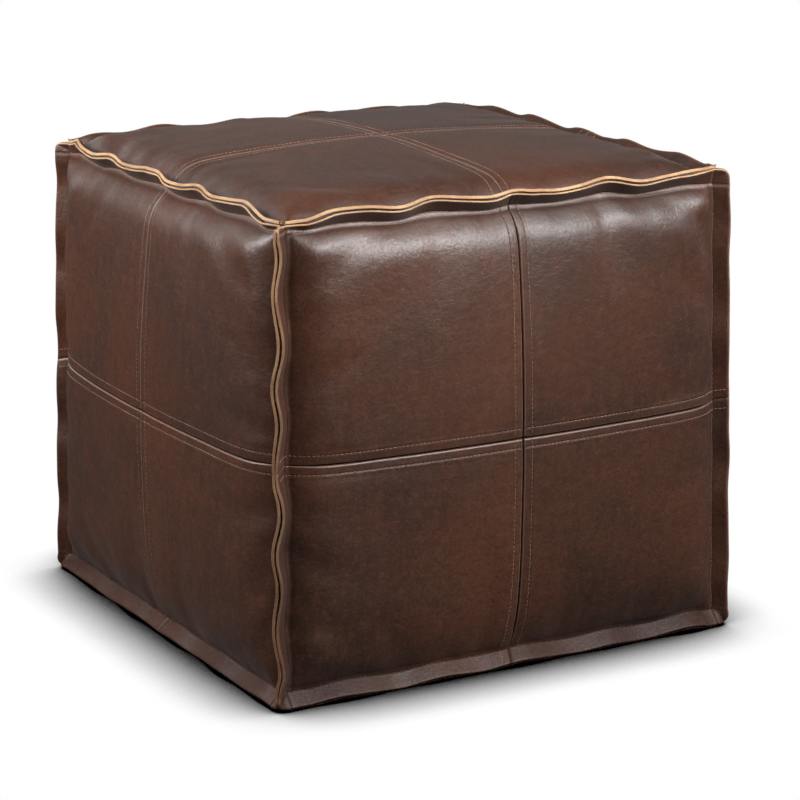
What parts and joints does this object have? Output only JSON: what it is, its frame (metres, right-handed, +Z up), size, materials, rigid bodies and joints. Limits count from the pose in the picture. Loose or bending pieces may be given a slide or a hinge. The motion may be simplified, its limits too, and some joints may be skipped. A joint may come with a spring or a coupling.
{
  "type": "leather pouf",
  "caption": "Square stuffed leather pouf: crowned panelled faces, raised raw-edge seams, and a zipped base over an inner liner and fill.",
  "frame": {"origin": "on the floor, under the middle of the pouf", "axes": "+Z up, the front face looks along -Y, and the base zip runs along X"},
  "size_m": [0.4978, 0.4978, 0.4427],
  "materials": {
    "leather": "semi-gloss, hand-rubbed dark brown with raw tan edges",
    "thread": "waxed beige thread",
    "liner_cloth": "undyed plain-weave cotton",
    "fill": "loose fibre",
    "zip_tape": "dark brown woven tape",
    "zip_coil": "dark brown coil",
    "zip_metal": "aged, lightly brushed"
  },
  "bodies": {
    "cover": {"front_panel_upper_left": "leather", "front_panel_upper_right": "leather", "front_panel_lower_left": "leather", "front_panel_lower_right": "leather", "back_panel_upper_left": "leather", "back_panel_upper_right": "leather", "back_panel_lower_left": "leather", "back_panel_lower_right": "leather", "left_panel_upper_front": "leather", "left_panel_upper_back": "leather", "left_panel_lower_front": "leather", "left_panel_lower_back": "leather", "right_panel_upper_front": "leather", "right_panel_upper_back": "leather", "right_panel_lower_front": "leather", "right_panel_lower_back": "leather", "top_panel_front_left": "leather", "top_panel_front_right": "leather", "top_panel_back_left": "leather", "top_panel_back_right": "leather", "base_panel_front_left": "leather", "base_panel_front_right": "leather", "base_panel_back_left": "leather", "base_panel_back_right": "leather", "front_topstitch": "thread", "back_topstitch": "thread", "left_topstitch": "thread", "right_topstitch": "thread", "top_topstitch": "thread", "base_topstitch_front": "thread", "base_topstitch_back": "thread", "edge_seam_top_front": "thread", "edge_seam_top_back": "thread", "edge_seam_top_left": "thread", "edge_seam_top_right": "thread", "edge_seam_base_front": "thread", "edge_seam_base_back": "thread", "edge_seam_base_left": "thread", "edge_seam_base_right": "thread", "edge_seam_front_left": "thread", "edge_seam_front_right": "thread", "edge_seam_back_left": "thread", "edge_seam_back_right": "thread", "inner_liner": "liner_cloth", "fill_core": "fill", "zip_tape_front": "zip_tape", "zip_tape_back": "zip_tape", "zip_coil_front": "zip_coil", "zip_coil_back": "zip_coil", "zip_stop_left": "zip_metal", "zip_stop_right": "zip_metal"},
    "slider": {"zip_slider": "zip_metal"},
    "pull": {"zip_pull": "zip_metal"}
  },
  "joints": [
    {"name": "zip_slide", "type": "slide", "parent": "cover", "child": "slider", "axis": [-1, 0, 0], "range_m": [0, 0.256]},
    {"name": "pull_hinge", "type": "hinge", "parent": "slider", "child": "pull", "pos_m": [0.128, 0, 0.0044], "axis": [0, -1, 0], "range_deg": [0, 165]}
  ]
}
